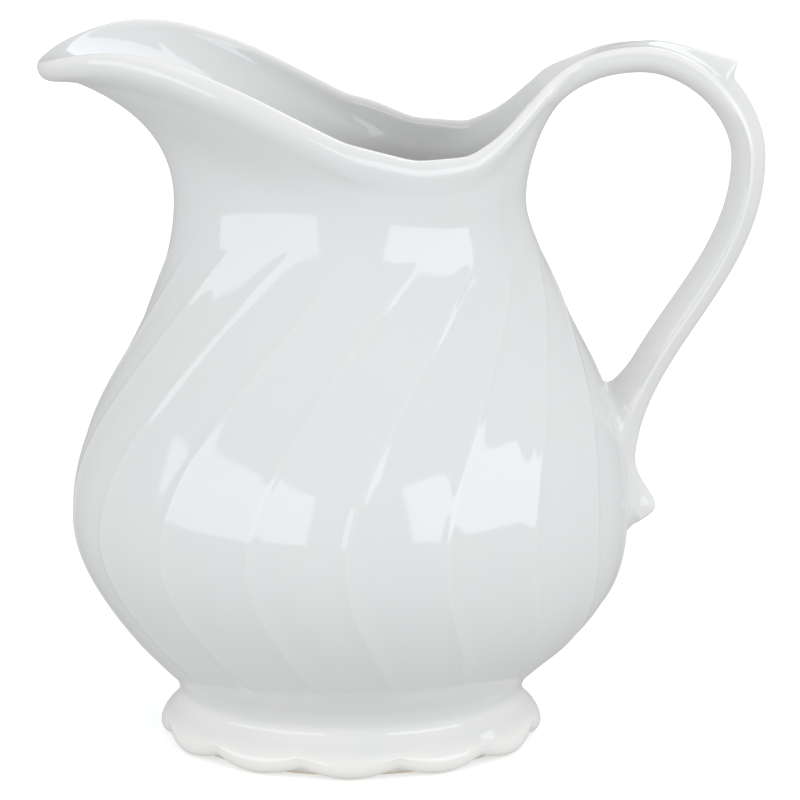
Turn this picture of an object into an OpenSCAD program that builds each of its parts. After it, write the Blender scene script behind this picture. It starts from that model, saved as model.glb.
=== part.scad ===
// White porcelain milk jug: a swirl-fluted body with a broad pouring lip, a scalloped foot
// and a looped handle, stuck together with slip before firing. Millimetres.
// Origin: centre of the foot on the table, +Z up, pouring lip towards -X, handle towards +X.

/* [Body] */
// Outside radius at the widest part of the belly
belly_r = 66.8; // [62:0.1:72]
// Height of the widest part of the belly
belly_z = 56; // [52:0.5:60]
// Outside radius at the narrowest part of the neck
neck_r = 41.9; // [39:0.1:45]
// Height of the narrowest part of the neck
neck_z = 131; // [126:0.5:136]
// How far the neck is drawn in between lip and handle, which makes it oval
neck_in = 3.6; // [0:0.1:4.5]
// Outside radius where the body sits on the foot
seat_r = 41; // [39.5:0.1:42.5]
// Wall thickness
wall = 3.6; // [3:0.1:4.4]
// Floor thickness at the middle
floor_t = 4.5; // [3.5:0.1:6]
// How far out the curve of the floor inside carries before it turns up
floor_reach = 56; // [50:0.5:58]
// How far the shoulder leans towards the handle
shoulder_lean = 1.6; // [0:0.1:2]

/* [Swirl flutes] */
// Number of raised flute lines round the belly
flute_count = 18; // [14:1:22]
// Height of a flute line above the wall
flute_h = 0.35; // [0.1:0.05:0.5]
// Turn of a flute line from the belly to the neck, in degrees
flute_turn = 55; // [30:1:70]

/* [Mouth] */
// Reach of the pouring lip from the axis to the middle of its edge
lip_reach = 73.5; // [68:0.5:78]
// Rise of the lip's tip above the neck
lip_rise = 32.5; // [29:0.5:36]
// Rise of the highest part of the rim above the neck
rim_top_rise = 38.2; // [35:0.1:41]
// Rise of the lowest part of the rim above the neck
rim_low_rise = 13.5; // [11.5:0.1:16]
// Half width of the mouth at its widest
mouth_half_w = 39.6; // [37:0.1:42]
// Distance of the widest part of the mouth behind the axis, towards the lip
mouth_wide_x = 18; // [14:0.5:22]
// Distance of the rim's highest part from the axis, towards the lip
rim_top_x = 50; // [46:0.5:54]
// Distance of the rim's lowest part from the axis, towards the handle
rim_low_x = 22; // [18:0.5:26]
// Extra thickness of the bead along the outside of the rim
bead_t = 1; // [0.4:0.1:1.4]
// Height of that bead
bead_h = 5; // [4:0.1:6]

/* [Handle] */
// Reach of the upper joint from the axis
root_reach = 48.1; // [46:0.1:50]
// Rise of the upper joint above the neck
root_rise = 23.5; // [21:0.1:26]
// Half width of the upper joint
root_half_w = 15; // [13:0.1:17]
// Depth of the gutter at the upper joint
gutter_d = 4.6; // [3.5:0.1:5.5]
// Slope of the handle at the upper joint, in degrees
root_slope = 48; // [40:1:54]
// Distance from the upper joint out to the crown
crown_run = 23.7; // [21:0.1:26]
// Rise from the upper joint up to the crown
crown_rise = 9.7; // [8:0.1:12]
// Radius of the crown arc, measured at the side ridges
crown_r = 27.1; // [24:0.1:30]
// Half width of the strap at its side ridges
strap_half_w = 5.6; // [4.5:0.1:7]
// How far the strap's sides stand out beyond its ridges
strap_bulge = 0.9; // [0.5:0.1:1.2]
// Depth of the strap below its side ridges, at the outer side of the loop
strap_depth = 5.4; // [4.5:0.1:6.5]
// Height of the middle rib above the side ridges
rib_h = 2.3; // [1.5:0.1:3]
// Further rise of the thumb spur above the rib
spur_h = 2.7; // [2:0.1:4.5]
// Drop from the widest part of the belly to the tail of the handle
tail_drop = 1.5; // [-2:0.5:3]
// Half width of the tail at its end
tail_half_w = 3.1; // [2.5:0.1:4]
// How far the tail stands out from the belly
tail_out = 4.8; // [3.5:0.1:6]
// Height of the lower joint, from the tail up to the crotch
lower_joint_h = 31; // [26:0.5:34]

/* [Foot] */
// Height of the foot
foot_h = 11.4; // [10:0.1:13]
// Radius of the foot at its lobes
foot_r = 46.3; // [44:0.1:49]
// Number of lobes
lobe_count = 12; // [10:1:16]
// Depth of the notches between the lobes
lobe_d = 0.9; // [0.4:0.1:1.5]
// Lift of the foot's edge at the notches
lobe_lift = 2; // [1:0.1:2.5]
// Height of the widest line of the foot's lip
lip_line_z = 2.7; // [2.3:0.1:3.5]
// How far the flat standing ring lies inside the seat
stand_in = 0.5; // [-0.5:0.1:1.5]
// Width of the standing ring
stand_w = 3.5; // [3:0.1:4]

/* [Joints] */
// Thickness of the slip that sticks the pieces together
slip_t = 0.5; // [0.3:0.05:0.8]
// Room left on each side of the slip
joint_gap = 0.12; // [0.1:0.02:0.2]

/* [Hidden] */
glaze = "#F1F2F3";
slip_white = "#E9E8E4";
$fn = 96;

columns = 90;
side_points = 5;
step = 360 / columns;
root_angle = side_points * step;
half_wall = wall / 2;
seat_z = foot_h + slip_t + 2 * joint_gap;
joint_off = slip_t + 2 * joint_gap;
// Outside radius of the standing ring
stand_r = seat_r - stand_in;
rim_round = 2.2;

// Curves
function bezier(p, t) = p[0] * pow(1 - t, 3) + 3 * p[1] * pow(1 - t, 2) * t
    + 3 * p[2] * (1 - t) * t * t + p[3] * pow(t, 3);
function smooth(t) = let (c = max(0, min(1, t))) c * c * (3 - 2 * c);
function mix(a, b, t) = a + (b - a) * t;
function unit(v) = v / norm(v);

// Outside profile of the body below the neck, as [radius, height]
seat_run = [8.4, 8.3];
belly_round_low = 21;
belly_round_high = 30;
neck_round = 25;
seat = [seat_r, seat_z];
belly = [belly_r, belly_z];
neck = [neck_r, neck_z];
low_profile = [seat, seat + seat_run, belly - [0, belly_round_low], belly];
high_profile = [belly, belly + [0, belly_round_high], neck - [0, neck_round], neck];
function lean(t) = shoulder_lean * pow(sin(180 * t), 2);

// Turn of the flute lines at a height, and the raised line itself, which dies away at both ends
flute_low_z = seat_z + 6;
flute_high_z = neck_z - 9;
low_fade = 8;
high_fade = 12;
function swirl(z) = flute_turn * pow((z - belly_z) / (neck_z - belly_z), 2);
function flute(angle, z) = flute_h * pow(0.5 + 0.5 * cos(flute_count * (angle + 90 - swirl(z))), 2)
    * smooth((z - flute_low_z) / low_fade) * smooth((flute_high_z - z) / high_fade);
// A point of the body at an angle round the axis, drawn in towards the oval neck above the belly
function drawn_in(angle, z) = neck_in * pow(sin(angle), 2) * smooth((z - belly_z) / (neck_z - belly_z));
function round_point(p, angle, off_x = 0, extra = 0) = let (r = p[0] + extra - drawn_in(angle, p[1]))
    [r * cos(angle) + off_x, r * sin(angle), p[1]];
function fluted_point(p, angle, off_x) = round_point(p, angle, off_x, flute(angle, p[1]));

// Rim: an ellipse round the pouring lip, then a tapering curve to the handle joint
lip_span = 80;
root_dir = [cos(root_slope), 0, sin(root_slope)];
root_up = [-sin(root_slope), 0, cos(root_slope)];
root_point = [root_reach, 0, neck_z + root_rise];
corner = root_point + root_up * gutter_d + [0, root_half_w, 0];
lip_len = lip_reach - mouth_wide_x;
back_len = corner[0] + mouth_wide_x;
back_span = 180 - lip_span - root_angle;
back_ease = lip_len * PI / 2 / lip_span * back_span / back_len - 1;
rim_top_turn = acos((rim_top_x - mouth_wide_x) / lip_len);
// Slope at which the rim climbs into the handle
corner_slope = 1.05;
function rim_height(x) = x < rim_low_x
    ? mix(rim_top_rise, rim_low_rise, smooth((x + rim_top_x) / (rim_low_x + rim_top_x)))
    : let (run = corner[0] - rim_low_x, t = (x - rim_low_x) / run, rise = corner[2] - neck_z - rim_low_rise)
        rim_low_rise + rise * smooth(t) + run * corner_slope * (t - 1) * t * t;
// Rim point for a neck angle between the handle joint and the lip's tip
function rim_point(a) = a > 180 - lip_span
    ? let (turn = (180 - a) * 90 / lip_span, x = -mouth_wide_x - lip_len * cos(turn))
        [x, mouth_half_w * sin(turn), neck_z + (turn < rim_top_turn
            ? mix(lip_rise, rim_top_rise, smooth(turn / rim_top_turn)) : rim_height(x))]
    : let (q = (180 - lip_span - a) / back_span, f = q * (1 + back_ease) - back_ease * q * q,
            x = -mouth_wide_x + back_len * f)
        [x, mix(mouth_half_w, root_half_w, f * f), neck_z + rim_height(x)];
// Outward direction of the rim in plan
function rim_out(a) = let (d = rim_point(a - 0.5) - rim_point(a + 0.5)) unit([-d[1], d[0], 0]);
// Flare of the wall at the rim: wide open at the lip, almost upright at the sides
tip_flare = 78;
side_flare = 6;
function rim_flare(a) = a < 180 - lip_span ? side_flare
    : side_flare + (tip_flare - side_flare) * pow(cos((180 - a) * 90 / lip_span), 2);
// Direction in which the wall runs up to its edge, turning into the handle's near the joint
turn_angle = 60;
turn_share = 0.6;
function side_dir(a) = let (f = rim_flare(a)) a > 179 ? [-sin(f), 0, cos(f)]
    : rim_out(a) * sin(f) + [0, 0, cos(f)];
function wall_dir(a) = a >= root_angle
    ? unit(mix(side_dir(a), root_dir, turn_share * smooth((turn_angle - a) / (turn_angle - root_angle))))
    : unit(mix(wall_dir(root_angle), root_dir, 1 - a / root_angle));
// Edge of the middle surface of the wall, for any neck angle from 0 to 180
function gutter_edge(f) = root_point + root_up * gutter_d * pow(f, 2.2) + [0, root_half_w * f, 0];
function wall_edge(a) = a < root_angle + 0.01 ? gutter_edge(a / root_angle)
    : rim_point(a) - wall_dir(a) * rim_round;
// How far the wall keeps the neck's line, and how far the edge's line, at the sides and at the lip
function lip_share(a) = smooth((a - 100) / 80);
function near_rise(a) = mix(8, 20, lip_share(a));
function edge_pull(a) = mix(7, 13, lip_share(a));
function neck_point(a) = round_point([neck_r - half_wall, neck_z], a);
function mid_half(a, t) = let (low = neck_point(a), high = wall_edge(a))
    bezier([low, low + [0, 0, near_rise(a)], high - wall_dir(a) * edge_pull(a), high], t);
function flip(p) = [p[0], -p[1], p[2]];
function mid_point(a, t) = let (w = a > 180 ? a - 360 : a) w < 0 ? flip(mid_half(-w, t)) : mid_half(w, t);
function mid_normal(a, t) = let (d = 0.01, s = min(t, 1 - d))
    unit(cross(mid_point(a + 0.2, t) - mid_point(a - 0.2, t), mid_point(a, s + d) - mid_point(a, s)));
function in_joint(a) = let (w = a > 180 ? 360 - a : a) w <= root_angle + 0.01;
// A wall point moved off the middle surface, kept on the joint plane where the handle is stuck on
function on_joint(p) = p - root_dir * ((p - root_point) * root_dir);
function wall_point(a, t, off) = let (p = mid_point(a, t) + mid_normal(a, t) * off)
    in_joint(a) && t > 0.999 ? on_joint(p) : p;
// Bead along the outside of the rim, which dies away towards the handle
bead_fade = 25;
function wall_len(a) = norm(mid_point(a, 1) - mid_point(a, 0));
function bead_full(a) = let (w = a > 180 ? 360 - a : a) bead_t * smooth((w - root_angle) / bead_fade);
function bead(a, t) = bead_full(a) * (1 - smooth(((1 - t) * wall_len(a) / bead_h - 1 / 3) * 3 / 2));
// Rounded edge between the outside and the inside of the rim
function edge_dir(a) = let (w = a > 180 ? 360 - a : a, d = wall_dir(w)) a > 180 ? flip(d) : d;
function edge_point(a, k) = in_joint(a)
    ? mix(wall_point(a, 1, half_wall + bead_full(a)), wall_point(a, 1, -half_wall), k)
    : mid_point(a, 1) + edge_dir(a) * rim_round * sin(180 * k)
        + mid_normal(a, 1) * mix(half_wall + bead_full(a), -half_wall, 0.5 - 0.5 * cos(180 * k));

// Inside of the body: a rounded bowl under the neck
floor_z = seat_z + floor_t;
bowl_round = 21;
bowl = belly - [wall, 0];
bowl_profile = [[0, floor_z], [floor_reach, floor_z], bowl - [0, bowl_round], bowl];
throat_profile = [for (p = high_profile) p - [wall, 0]];
// Hollow of the floor's underside
under_rise = 1.2;

low_rows = 7;
high_rows = 10;
wall_rows = 9;
edge_rows = 4;
bowl_rows = 6;
function row_share(i) = 1 - pow(1 - i / wall_rows, 1.5);
function column(a) = concat(
    [round_point([stand_r - stand_w, seat_z], a)],
    [for (i = [0:low_rows - 1]) fluted_point(bezier(low_profile, i / low_rows), a, 0)],
    [for (i = [0:high_rows - 1]) let (t = i / high_rows) fluted_point(bezier(high_profile, t), a, lean(t))],
    [for (i = [0:wall_rows]) let (t = row_share(i)) wall_point(a, t, half_wall + bead(a, t))],
    [for (i = [1:edge_rows - 1]) edge_point(a, i / edge_rows)],
    [for (i = [wall_rows:-1.5:0]) wall_point(a, row_share(i), -half_wall)],
    [for (i = [high_rows - 1:-1.5:0]) let (t = i / high_rows)
        round_point(bezier(throat_profile, t), a, lean(t))],
    [for (i = [bowl_rows - 1:-1:1]) round_point(bezier(bowl_profile, i / bowl_rows), a)]);

// A closed solid from equal columns of points, capped by a middle point at each end
module turned_solid(cols, low_cap, high_cap) {
    n = len(cols);
    m = len(cols[0]);
    points = concat([low_cap, high_cap], [for (c = cols) each c]);
    function at(j, i) = 2 + (j % n) * m + i;
    faces = [for (j = [0:n - 1]) each concat(
        [[0, at(j, 0), at(j + 1, 0)], [1, at(j + 1, m - 1), at(j, m - 1)]],
        [for (i = [0:m - 2]) each [[at(j, i), at(j, i + 1), at(j + 1, i + 1)],
            [at(j, i), at(j + 1, i + 1), at(j + 1, i)]]])];
    polyhedron(points, faces);
}

module body_shell() {
    color(glaze)
        turned_solid([for (j = [0:columns - 1]) column(j * step)],
            [0, 0, seat_z + under_rise], [0, 0, floor_z]);
}

// Radius of the body at a height, found on its outside profile
function solve(p, z, lo = 0, hi = 1, n = 18) = let (t = (lo + hi) / 2)
    n == 0 ? t : bezier(p, t)[1] > z ? solve(p, z, lo, t, n - 1) : solve(p, z, t, hi, n - 1);
function body_at(z) = z < belly_z ? [bezier(low_profile, solve(low_profile, z))[0], 0]
    : let (t = solve(high_profile, z)) [bezier(high_profile, t)[0], lean(t)];
// A point of the handle pushed out of the body, to leave room for the slip
function off_body(p, off) = let (b = body_at(p[2]), q = [p[0] - b[1], p[1]], r = norm(q),
        least = b[0] + flute(atan2(q[1], q[0]), p[2]) + off)
    p[2] > neck_z - 20 || r >= least ? p : [b[1] + q[0] * least / r, q[1] * least / r, p[2]];

// Handle path along the side ridges, in the middle plane, as [x, z]
function flat(p) = [p[0], p[2]];
root_start = flat(root_point + root_up * gutter_d + root_dir * joint_off);
crown = root_start + [crown_run, crown_rise];
side = crown + [crown_r, -crown_r];
arc_grip = 0.5523 * crown_r;
tail = [belly_r + joint_off + tail_out, belly_z - tail_drop];
waist_z = tail[1] + lower_joint_h / 2;
waist_out = 0.7;
waist = [body_at(waist_z)[0] + body_at(waist_z)[1] + joint_off + waist_out, waist_z];
path = [
    [root_start, root_start + flat(root_dir) * 8, crown - [13, 0], crown],
    [crown, crown + [arc_grip, 0], side + [0, arc_grip], side],
    [side, side - [0, 29], waist + [2.8, 26], waist],
    [waist, waist - [0.9, 7], tail + [-2, 4], tail]];
function along(s) = bezier(path[min(3, floor(s))], s - min(3, floor(s)));
function heading(s) = let (d = 0.004) unit(along(min(4, s + d)) - along(max(0, s - d)));

// Middle rib, which starts below the ridges and rises into the thumb spur
spur_start = 1.27;
spur_tip = 1.5;
spur_end = 1.535;
spur_full = spur_tip - 0.05;
function spur(s) = s < spur_tip ? smooth((s - spur_start) / (spur_full - spur_start))
    : 1 - smooth((s - spur_tip) / (spur_end - spur_tip));
function rib(s) = mix(-rib_h, rib_h, smooth((s - 0.3) / 1.4)) + spur_h * spur(s);
// Depth of the strap below its ridges: more at the root, and into the body at the lower joint
root_extra = 1.3;
low_extra = 0.6;
joint_extra = 5;
function depth(s) = strap_depth + root_extra * smooth(2 - s) + low_extra * smooth(s - 2)
    + joint_extra * smooth((s - 2.72) / 0.25);
function ridge_half_w(s) = mix(strap_half_w, tail_half_w, smooth((s - 3.2) / 0.8));
// Rounding of the tail's tip
tip_round = 2.6;
function tail_round(s) = tip_round * (1 - sqrt(1 - pow(max(0, s - 3.7) / 0.31, 2)));

// Section of the strap as [across, out] pairs: the inside of the loop, then the ridges and the rib
flank = 0.8;
flank_depth = 0.35;
rib_share = 0.6;
function strap_inside(s, f) = let (w = ridge_half_w(s), d = depth(s), turn = 90 * f / flank,
        k = max(0, (abs(f) - flank) / (1 - flank)))
    k > 0 ? [(w + strap_bulge * (1 - k)) * sign(f), -d * flank_depth * (1 - k) - tail_round(s)]
    : [(w + strap_bulge) * sin(turn), -d * mix(flank_depth, 1, cos(turn)) - tail_round(s)];
function strap_outside(s, f) = [ridge_half_w(s) * f,
    rib(s) * pow(max(0, 1 - pow(f / rib_share, 2)), 2) - tail_round(s)];
side_range = [-side_points:side_points];
back_range = [side_points:-1:-side_points];
function strap_section(s) = concat([for (j = side_range) strap_inside(s, j / side_points)],
    [for (j = back_range) strap_outside(s, j / side_points)]);

// Section of the gutter at the upper joint, walked in the same order
root_loop = concat([for (j = side_range) wall_point(j * step, 1, half_wall)],
    [for (j = back_range) wall_point(j * step, 1, -half_wall)]);
root_section = [for (p = root_loop) [p[1], (p - root_point) * root_up - gutter_d]];
root_span = 0.55;
function handle_ring(s) = let (c = along(s), h = heading(s), out = [-h[1], h[0]], w = smooth(s / root_span),
        strap = strap_section(s))
    [for (k = [0:len(strap) - 1]) let (q = mix(root_section[k], strap[k], w))
        off_body([c[0] + out[0] * q[1], q[0], c[1] + out[1] * q[1]], joint_off)];

// A closed solid from rings whose two halves face each other
module lofted_solid(rings) {
    n = len(rings);
    m = len(rings[0]);
    function at(i, k) = i * m + k % m;
    side_faces = [for (i = [0:n - 2]) for (k = [0:m - 1]) each [[at(i, k), at(i + 1, k), at(i + 1, k + 1)],
        [at(i, k), at(i + 1, k + 1), at(i, k + 1)]]];
    function cap(i, flipped) = [for (k = [0:m / 2 - 2]) each let (a = at(i, k), b = at(i, k + 1),
            c = at(i, m - 2 - k), d = at(i, m - 1 - k))
        flipped ? [[a, c, b], [a, d, c]] : [[a, b, c], [a, c, d]]];
    polyhedron([for (r = rings) each r], concat(side_faces, cap(0, false), cap(n - 1, true)));
}

handle_stops = concat([for (i = [0:14]) i / 14], [for (i = [1:9]) mix(1, spur_tip, i / 9)],
    [mix(spur_tip, spur_end, 0.35), mix(spur_tip, spur_end, 0.7), spur_end],
    [for (i = [1:6]) mix(spur_end, 2, i / 6)], [for (i = [1:24]) 2 + i / 24], [for (i = [1:12]) 3 + i / 12]);
module handle() {
    color(glaze) lofted_solid([for (s = handle_stops) handle_ring(s)]);
}

module upper_handle_slip() {
    color(slip_white)
        lofted_solid([for (d = [joint_gap, joint_gap + slip_t]) [for (p = root_loop) p + root_dir * d]]);
}

// Slip between the belly and the handle's lower end, as wide as the handle there
module lower_handle_slip() {
    rows = 12;
    low_z = tail[1] - 1;
    high_z = tail[1] + lower_joint_h - 3;
    function half_w(i) = mix(tail_half_w, strap_half_w, smooth(2 * i / rows));
    function pad_row(i, off) = [for (j = [-3:3]) let (z = mix(low_z, high_z, i / rows), b = body_at(z),
            a = asin(half_w(i) * j / 3 / b[0]), r = b[0] + flute(a, z) + joint_gap + off)
        [b[1] + r * cos(a), r * sin(a), z]];
    color(slip_white) lofted_solid([for (i = [0:rows])
        concat(pad_row(i, 0), [for (j = [6:-1:0]) pad_row(i, slip_t)[j]])]);
}

// Flat ring of slip between the body and the foot
module foot_slip() {
    inset = 0.2;
    inner_r = stand_r - stand_w + inset;
    color(slip_white) translate([0, 0, foot_h + joint_gap]) rotate_extrude()
        translate([inner_r, 0]) square([seat_r - inset - inner_r, slip_t]);
}

// Scallop round the foot: 0 at the middle of a lobe, 1 at a notch
function scallop(a) = 1 - abs(cos(lobe_count * (a + 90) / 2));
flare_low = 4;
flare_high = 3.5;
foot_top = [seat_r, foot_h];
foot_lip = [foot_r, lip_line_z];
foot_flare = [foot_top, foot_top + [0.4, -flare_high], foot_lip + [0, flare_low], foot_lip];
// Rounding under the lip, and the height of the lobes above the table
edge_in = 2;
edge_clear = 0.3;
// Overlap of the skirt into the standing ring
skirt_bite = 0.7;
flare_rows = 6;
edge_steps = 4;
function foot_column(a) = let (n = scallop(a), lift = lobe_lift * n + edge_clear)
    concat([for (i = [0:flare_rows]) let (t = i / flare_rows)
            round_point(bezier(foot_flare, t) + [-lobe_d * n, lift] * t * t, a)],
        [for (i = [1:edge_steps]) let (b = 90 * i / edge_steps)
            round_point(foot_lip + [-lobe_d * n - edge_in * (1 - cos(b)), lift - lip_line_z * sin(b)], a)],
        [round_point([stand_r - skirt_bite, lip_line_z + lift], a),
            round_point([stand_r - stand_w + skirt_bite, foot_h - flare_high], a),
            round_point([stand_r - stand_w + skirt_bite, foot_h], a)]);

module foot_skirt() {
    n = lobe_count * 8;
    cols = [for (j = [0:n - 1]) foot_column(j * 360 / n)];
    m = len(cols[0]);
    function at(j, i) = (j % n) * m + i % m;
    polyhedron([for (c = cols) each c], [for (j = [0:n - 1]) for (i = [0:m - 1])
        each [[at(j, i), at(j + 1, i + 1), at(j, i + 1)], [at(j, i), at(j + 1, i), at(j + 1, i + 1)]]]);
}

module foot_ring() {
    color(glaze) union() {
        foot_skirt();
        rotate_extrude() translate([stand_r - stand_w, 0]) square([stand_w, foot_h]);
    }
}

body_shell();
foot_ring();
foot_slip();
handle();
upper_handle_slip();
lower_handle_slip();
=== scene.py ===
import math
from types import SimpleNamespace

import bpy
import numpy as np
from bpy.props import FloatProperty, FloatVectorProperty, IntProperty, PointerProperty
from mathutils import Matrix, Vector


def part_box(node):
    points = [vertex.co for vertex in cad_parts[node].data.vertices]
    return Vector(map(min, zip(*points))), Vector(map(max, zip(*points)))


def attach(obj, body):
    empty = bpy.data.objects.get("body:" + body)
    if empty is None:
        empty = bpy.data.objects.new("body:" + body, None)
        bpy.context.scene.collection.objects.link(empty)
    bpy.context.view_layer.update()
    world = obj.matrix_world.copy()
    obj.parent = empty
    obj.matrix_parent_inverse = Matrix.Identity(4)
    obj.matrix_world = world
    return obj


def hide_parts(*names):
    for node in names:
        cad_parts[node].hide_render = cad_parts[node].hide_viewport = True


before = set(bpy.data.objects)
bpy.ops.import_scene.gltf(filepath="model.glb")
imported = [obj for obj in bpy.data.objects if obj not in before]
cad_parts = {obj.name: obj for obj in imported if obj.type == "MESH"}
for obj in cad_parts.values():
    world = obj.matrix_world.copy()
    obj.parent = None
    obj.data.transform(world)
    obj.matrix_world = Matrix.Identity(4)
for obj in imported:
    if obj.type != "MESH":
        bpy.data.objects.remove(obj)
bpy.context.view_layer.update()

bl_info = {
    "name": "Porcelain Milk Jug",
    "version": (1, 0, 0),
    "blender": (4, 5, 0),
    "location": "View3D > Sidebar > Milk Jug",
    "description": "Models a porcelain milk jug with swirl flutes, a pouring lip and a looped handle",
    "category": "Add Mesh",
}

MM = 0.001
X_AXIS, Y_AXIS, Z_AXIS = np.eye(3)
# Angles of the columns that the body's surface is built from; the handle is at 0 and the lip at 180
RING = np.arange(-180, 180.0)
# Angle of the side that faces the camera
FRONT = -90
# Heights between which the glaze lies evenly across the groove above the foot, in millimetres
GROOVE = (7.5, 21.0)
# Height below which the handle belongs to its lower joint, in millimetres
LOW_END = 100


def linear(code):
    """An sRGB hex colour as linear red, green and blue."""
    parts = [int(code[i:i + 2], 16) / 255 for i in (1, 3, 5)]
    return tuple(p / 12.92 if p <= 0.04045 else ((p + 0.055) / 1.055) ** 2.4 for p in parts)


def length(name, description, mm):
    """A length property whose default is given in millimetres."""
    return FloatProperty(name=name, description=description, default=mm * MM, unit="LENGTH", precision=5)


def angle(name, description, degrees):
    """An angle property whose default is given in degrees."""
    return FloatProperty(name=name, description=description, default=math.radians(degrees), subtype="ANGLE")


def colour(name, description, code):
    """A colour property whose default is an sRGB hex value."""
    return FloatVectorProperty(name=name, description=description, default=linear(code), size=3,
                               min=0, max=1, subtype="COLOR")


class JugBodySizes(bpy.types.PropertyGroup):
    """Sizes of the cast body below its mouth"""
    belly_r: length("Belly radius", "Outside radius of the belly at its widest", 66.8)
    belly_z: length("Belly height", "Height of the belly's widest line", 56)
    neck_r: length("Neck radius", "Outside radius of the neck at its narrowest", 41.9)
    neck_z: length("Neck height", "Height of the neck's narrowest line", 131)
    seat_r: length("Seat radius", "Radius where the body sits on the foot", 40.6)
    seat_z: length("Seat height", "Height of the body's underside", 13.05)
    wall: length("Wall", "Thickness of the cast wall", 3.6)
    floor_t: length("Floor", "Thickness of the floor at its middle", 4.5)
    shoulder_lean: length("Shoulder lean", "How far the shoulder leans to the handle", 1.6)
    belly_lean: length("Belly lean", "How far the lower belly leans to the handle", 1.2)
    neck_in: length("Neck oval", "How far the neck is drawn in at front and back", 3.6)
    neck_lift: length("Neck lift", "How much higher the neck's line lies beside the lip", 6)
    shoulder_full: length("Shoulder fullness", "Swelling of the shoulder under the handle", 1.2)
    flute_count: IntProperty(name="Flutes", description="Raised lines round the belly", default=18, min=6)
    flute_h: length("Flute height", "Height of a raised flute line", 0.45)
    flute_w: length("Flute width", "Half width of a flute line at a third of its height", 2.0)
    flute_turn: angle("Flute turn", "Turn of a flute line from the belly to the neck", 55)


class JugMouthSizes(bpy.types.PropertyGroup):
    """Sizes of the wall above the neck, the rim and the pouring lip"""
    lip_reach: length("Lip reach", "Reach of the pouring lip from the axis", 72.8)
    lip_z: length("Lip height", "Height of the lip's tip", 163.4)
    rim_top_z: length("Rim top height", "Height of the highest part of the rim", 169.2)
    rim_top_x: length("Rim top place", "Distance of the rim's highest part from the axis", 50)
    half_w: length("Mouth half width", "Half width of the mouth at its widest", 39.6)
    wide_x: length("Mouth widest place", "Distance of the widest part from the axis", 18)
    bead_t: length("Bead thickness", "Extra thickness of the bead along the rim", 0.9)
    bead_h: length("Bead fade", "Height in which the bead fades into the wall", 7)
    rim_round: length("Rim rounding", "Height of the rounded edge of the rim", 2.2)
    rim_roll: length("Rim roll", "Height of the long roll down the outside of the rim", 4.4)
    crest_in: length("Crest place", "How far the crest lies inside the wall's middle", 1.0)
    lip_thick: length("Lip thickness", "Further thickness of the bead at the lip's tip", 0.6)
    lip_round: length("Lip rounding", "Height of the blunt edge at the lip's tip", 3.2)
    tip_flare: angle("Lip flare", "How far the wall opens at the lip's tip", 78)
    side_flare: angle("Side flare", "How far the wall opens at the sides", 6)


class JugHandleSizes(bpy.types.PropertyGroup):
    """Sizes of the looped handle"""
    root_x: length("Root reach", "Reach of the upper joint from the axis", 48.1)
    root_z: length("Root height", "Height of the upper joint", 154.5)
    root_half_w: length("Root half width", "Half width of the upper joint", 15)
    gutter_d: length("Gutter depth", "Depth of the gutter at the upper joint", 4.6)
    root_slope: angle("Root slope", "Slope of the handle at the upper joint", 48)
    crown_run: length("Crown run", "Distance from the upper joint out to the crown", 23.7)
    crown_rise: length("Crown rise", "Rise from the upper joint to the crown", 9.7)
    crown_r: length("Crown radius", "Radius of the crown arc at the side ridges", 27.1)
    strap_half_w: length("Strap half width", "Half width of the strap at its ridges", 5.6)
    strap_bulge: length("Strap bulge", "How far the strap's sides pass its ridges", 0.9)
    strap_depth: length("Strap depth", "Depth of the strap below its ridges", 5.4)
    rib_h: length("Rib height", "Height of the middle rib above the valleys", 2.75)
    spur_h: length("Spur height", "Further rise of the thumb spur", 4.3)
    tail_drop: length("Tail drop", "Drop from the belly's widest line to the tail", -0.1)
    tail_out: length("Tail reach", "How far the tail stands out from the belly", 3.9)
    tail_half_w: length("Tail half width", "Half width of the tail at its end", 3.3)
    tail_round: length("Tail rounding", "Radius of the rounded end of the tail", 2.8)
    joint_h: length("Lower joint height", "Height from the tail to the crotch", 28)
    slip_t: length("Joint thickness", "Thickness of the fired slip in the upper joint", 0.74)
    fillet_r: length("Joint fillet", "Reach of the soft fillet round the lower joint", 4.2)


class JugFootSizes(bpy.types.PropertyGroup):
    """Sizes of the scalloped foot"""
    foot_h: length("Foot height", "Height of the foot", 12.1)
    foot_r: FloatProperty(name="Foot radius", description="Radius of the foot at its lobes",
                          default=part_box("foot_ring")[1].x, unit="LENGTH", precision=5)
    lobe_count: IntProperty(name="Lobes", description="Lobes round the foot's lip", default=12, min=4)
    lobe_d: length("Notch depth", "Depth of the notches between the lobes", 0.9)
    lobe_lift: length("Notch lift", "Lift of the foot's edge at the notches", 2)
    lip_line_z: length("Lip line", "Height of the widest line of the lip", 2.7)
    edge_in: length("Lip rounding", "How far the lip rounds in under its widest line", 2)
    edge_clear: length("Lip clearance", "Height of the lobes above the table", 0.3)
    stand_r: length("Standing ring radius", "Outside radius of the flat standing ring", 40.5)
    stand_w: length("Standing ring width", "Width of the flat standing ring", 3.5)


class JugFinish(bpy.types.PropertyGroup):
    """Colours and gloss of the glaze, the bare biscuit and the studio floor"""
    glaze: colour("Glaze", "White porcelain under clear glaze", "#E0DFDD")
    glaze_pool: colour("Pooled glaze", "Cool tint where the glaze lies thick", "#D6D9DA")
    # Lighter, warmer colour on edges: partly glaze running thin, partly a painted highlight on edges and the
    # rim's crest
    glaze_thin: colour("Thin glaze", "Warm tint where the glaze runs thin on edges", "#F1EFE9")
    biscuit: colour("Biscuit", "Bare fired clay on the standing edge", "#CDBFA9")
    floor: colour("Floor", "Pale studio floor", "#F4F4F4")
    roughness: FloatProperty(name="Glaze roughness", description="Roughness of the glossy glaze",
                             default=0.07, min=0, max=1, subtype="FACTOR")


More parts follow.
